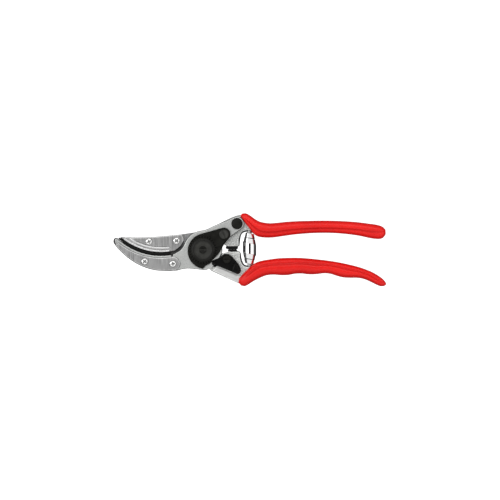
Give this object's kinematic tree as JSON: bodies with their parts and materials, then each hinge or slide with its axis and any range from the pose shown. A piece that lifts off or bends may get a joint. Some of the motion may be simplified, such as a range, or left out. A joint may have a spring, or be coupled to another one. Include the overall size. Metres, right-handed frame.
{
  "type": "pruning shears",
  "caption": "Cut-and-hold pruning shears: bypass blades with hold plates, a toothed pivot nut, a barrel spring, a thumb catch and two vinyl-covered handles.",
  "frame": {"origin": "on the axis of the pivot bolt, in the flat back face of its head, which the closed shears rest on together with both grips", "axes": "+Z out of the front of the tool, along the pivot axis; -X towards the tips of the jaws and +X towards the ends of the handles; +Y towards the handle that carries the counter blade"},
  "size_m": [0.2101, 0.0563, 0.0163],
  "materials": {
    "forged_aluminium": "forged and bead-blasted, satin",
    "red_vinyl": "smooth dipped vinyl, glossy",
    "blade_steel": "ground, fine grain",
    "hold_plate_steel": "ground, darker than the blades",
    "plain_steel": "plain",
    "bright_screw": "nickel plated, bright",
    "black_steel": "blackened, satin",
    "black_rubber": "matt",
    "spring_chrome": "bright plated strip",
    "bronze": "plain sintered bronze"
  },
  "bodies": {
    "counter_half": {"upper_handle_frame": "forged_aluminium", "upper_grip_sleeve": "red_vinyl", "counter_blade": "blade_steel", "lower_hold_plate": "hold_plate_steel", "lower_hold_screw_front": "bright_screw", "lower_hold_screw_rear": "bright_screw", "counter_blade_bolt": "black_steel", "counter_blade_nut": "plain_steel", "pivot_bolt": "black_steel", "pivot_washer": "bronze", "pivot_nut": "black_steel", "clamp_plate": "black_steel", "lock_segment": "black_steel", "lock_screw": "black_steel", "upper_bumper": "black_rubber", "upper_spring_peg": "plain_steel", "return_spring": "spring_chrome"},
    "blade_half": {"lower_handle_frame": "forged_aluminium", "lower_grip_sleeve": "red_vinyl", "cutting_blade": "blade_steel", "upper_hold_plate": "hold_plate_steel", "upper_hold_screw_front": "bright_screw", "upper_hold_screw_rear": "bright_screw", "grip_strip": "black_rubber", "blade_screw": "plain_steel", "pivot_bush": "bronze", "lower_bumper": "black_rubber", "lower_spring_peg": "plain_steel", "catch_post": "black_steel", "catch_washer": "plain_steel"},
    "catch": {"thumb_catch": "black_steel"}
  },
  "joints": [
    {"name": "handle_pivot", "type": "hinge", "parent": "counter_half", "child": "blade_half", "pos_m": [0, 0, 0.0075], "axis": [0, 0, -1], "range_deg": [0, 30], "deforming": ["return_spring"]},
    {"name": "catch_pivot", "type": "hinge", "parent": "blade_half", "child": "catch", "pos_m": [0.0183, -0.0074, 0.0107], "axis": [0, 0, 1], "range_deg": [0, 25]}
  ],
  "couplings": [
    {"joint": "catch_pivot", "follows": "handle_pivot", "ratio": 0.8}
  ]
}
